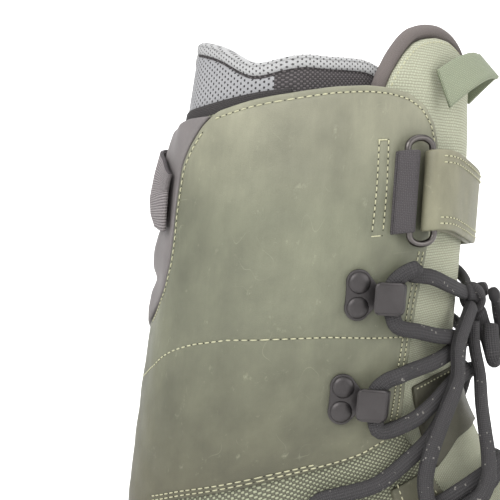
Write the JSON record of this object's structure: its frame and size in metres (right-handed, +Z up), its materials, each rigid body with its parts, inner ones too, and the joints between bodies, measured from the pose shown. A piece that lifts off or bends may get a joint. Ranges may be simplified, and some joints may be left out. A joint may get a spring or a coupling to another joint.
{
  "type": "snowboard boot",
  "caption": "Right lace-up snowboard boot: hollow canvas upper with leather overlays, padded tongue and liner, lugged cupsole.",
  "frame": {"origin": "on the floor, under the middle of the heel, on the heel's flat tread", "axes": "+X to the toe, +Y to the inner side of the right foot, +Z up along the shaft"},
  "size_m": [0.3116, 0.1228, 0.3408],
  "materials": {
    "leather": "oiled nubuck, waxy pull-up marks, dry",
    "canvas": "coarse woven canvas",
    "liner_mesh": "grey spacer mesh",
    "webbing": "woven webbing",
    "rubber": "matt",
    "foam": "matt moulded foam",
    "hook_metal": "satin dark plated steel",
    "ring_steel": "satin steel wire",
    "lace": "braided flat-oval lace with pale flecks",
    "aglet": "clear smooth tube",
    "pad": "smooth grey-mauve padded cover",
    "piping": "fine woven rolled edge",
    "pull_webbing": "flat woven webbing"
  },
  "bodies": {
    "root": {"outsole": "rubber", "midsole": "foam", "upper": "canvas", "liner": "liner_mesh", "footbed": "webbing", "tongue": "canvas", "quarter_lateral": "leather", "quarter_medial": "leather", "back_stay": "pad", "rear_webbing": "webbing", "heel_counter": "leather", "toe_cap": "leather", "eyestay": "leather", "tongue_piping": "piping", "tongue_patch": "leather", "tongue_pull_loop": "pull_webbing", "strap": "leather", "strap_ring": "ring_steel", "ring_tab": "webbing", "lace_cross_1": "lace", "lace_cross_2": "lace", "lace_cross_3": "lace", "lace_cross_4": "lace", "lace_bar": "lace", "lace_knot": "lace", "lace_bow_long": "lace", "lace_bow_short": "lace", "lace_end_lateral": "lace", "lace_end_medial": "lace", "aglet_lateral": "aglet", "aglet_medial": "aglet", "lace_top_lateral": "lace", "hook_upper_lateral": "hook_metal", "hook_middle_lateral": "hook_metal", "hook_ankle_lateral": "hook_metal", "lace_loop_1_lateral": "webbing", "lace_loop_2_lateral": "webbing", "lace_top_medial": "lace", "hook_upper_medial": "hook_metal", "hook_middle_medial": "hook_metal", "hook_ankle_medial": "hook_metal", "lace_loop_1_medial": "webbing", "lace_loop_2_medial": "webbing"}
  },
  "joints": []
}
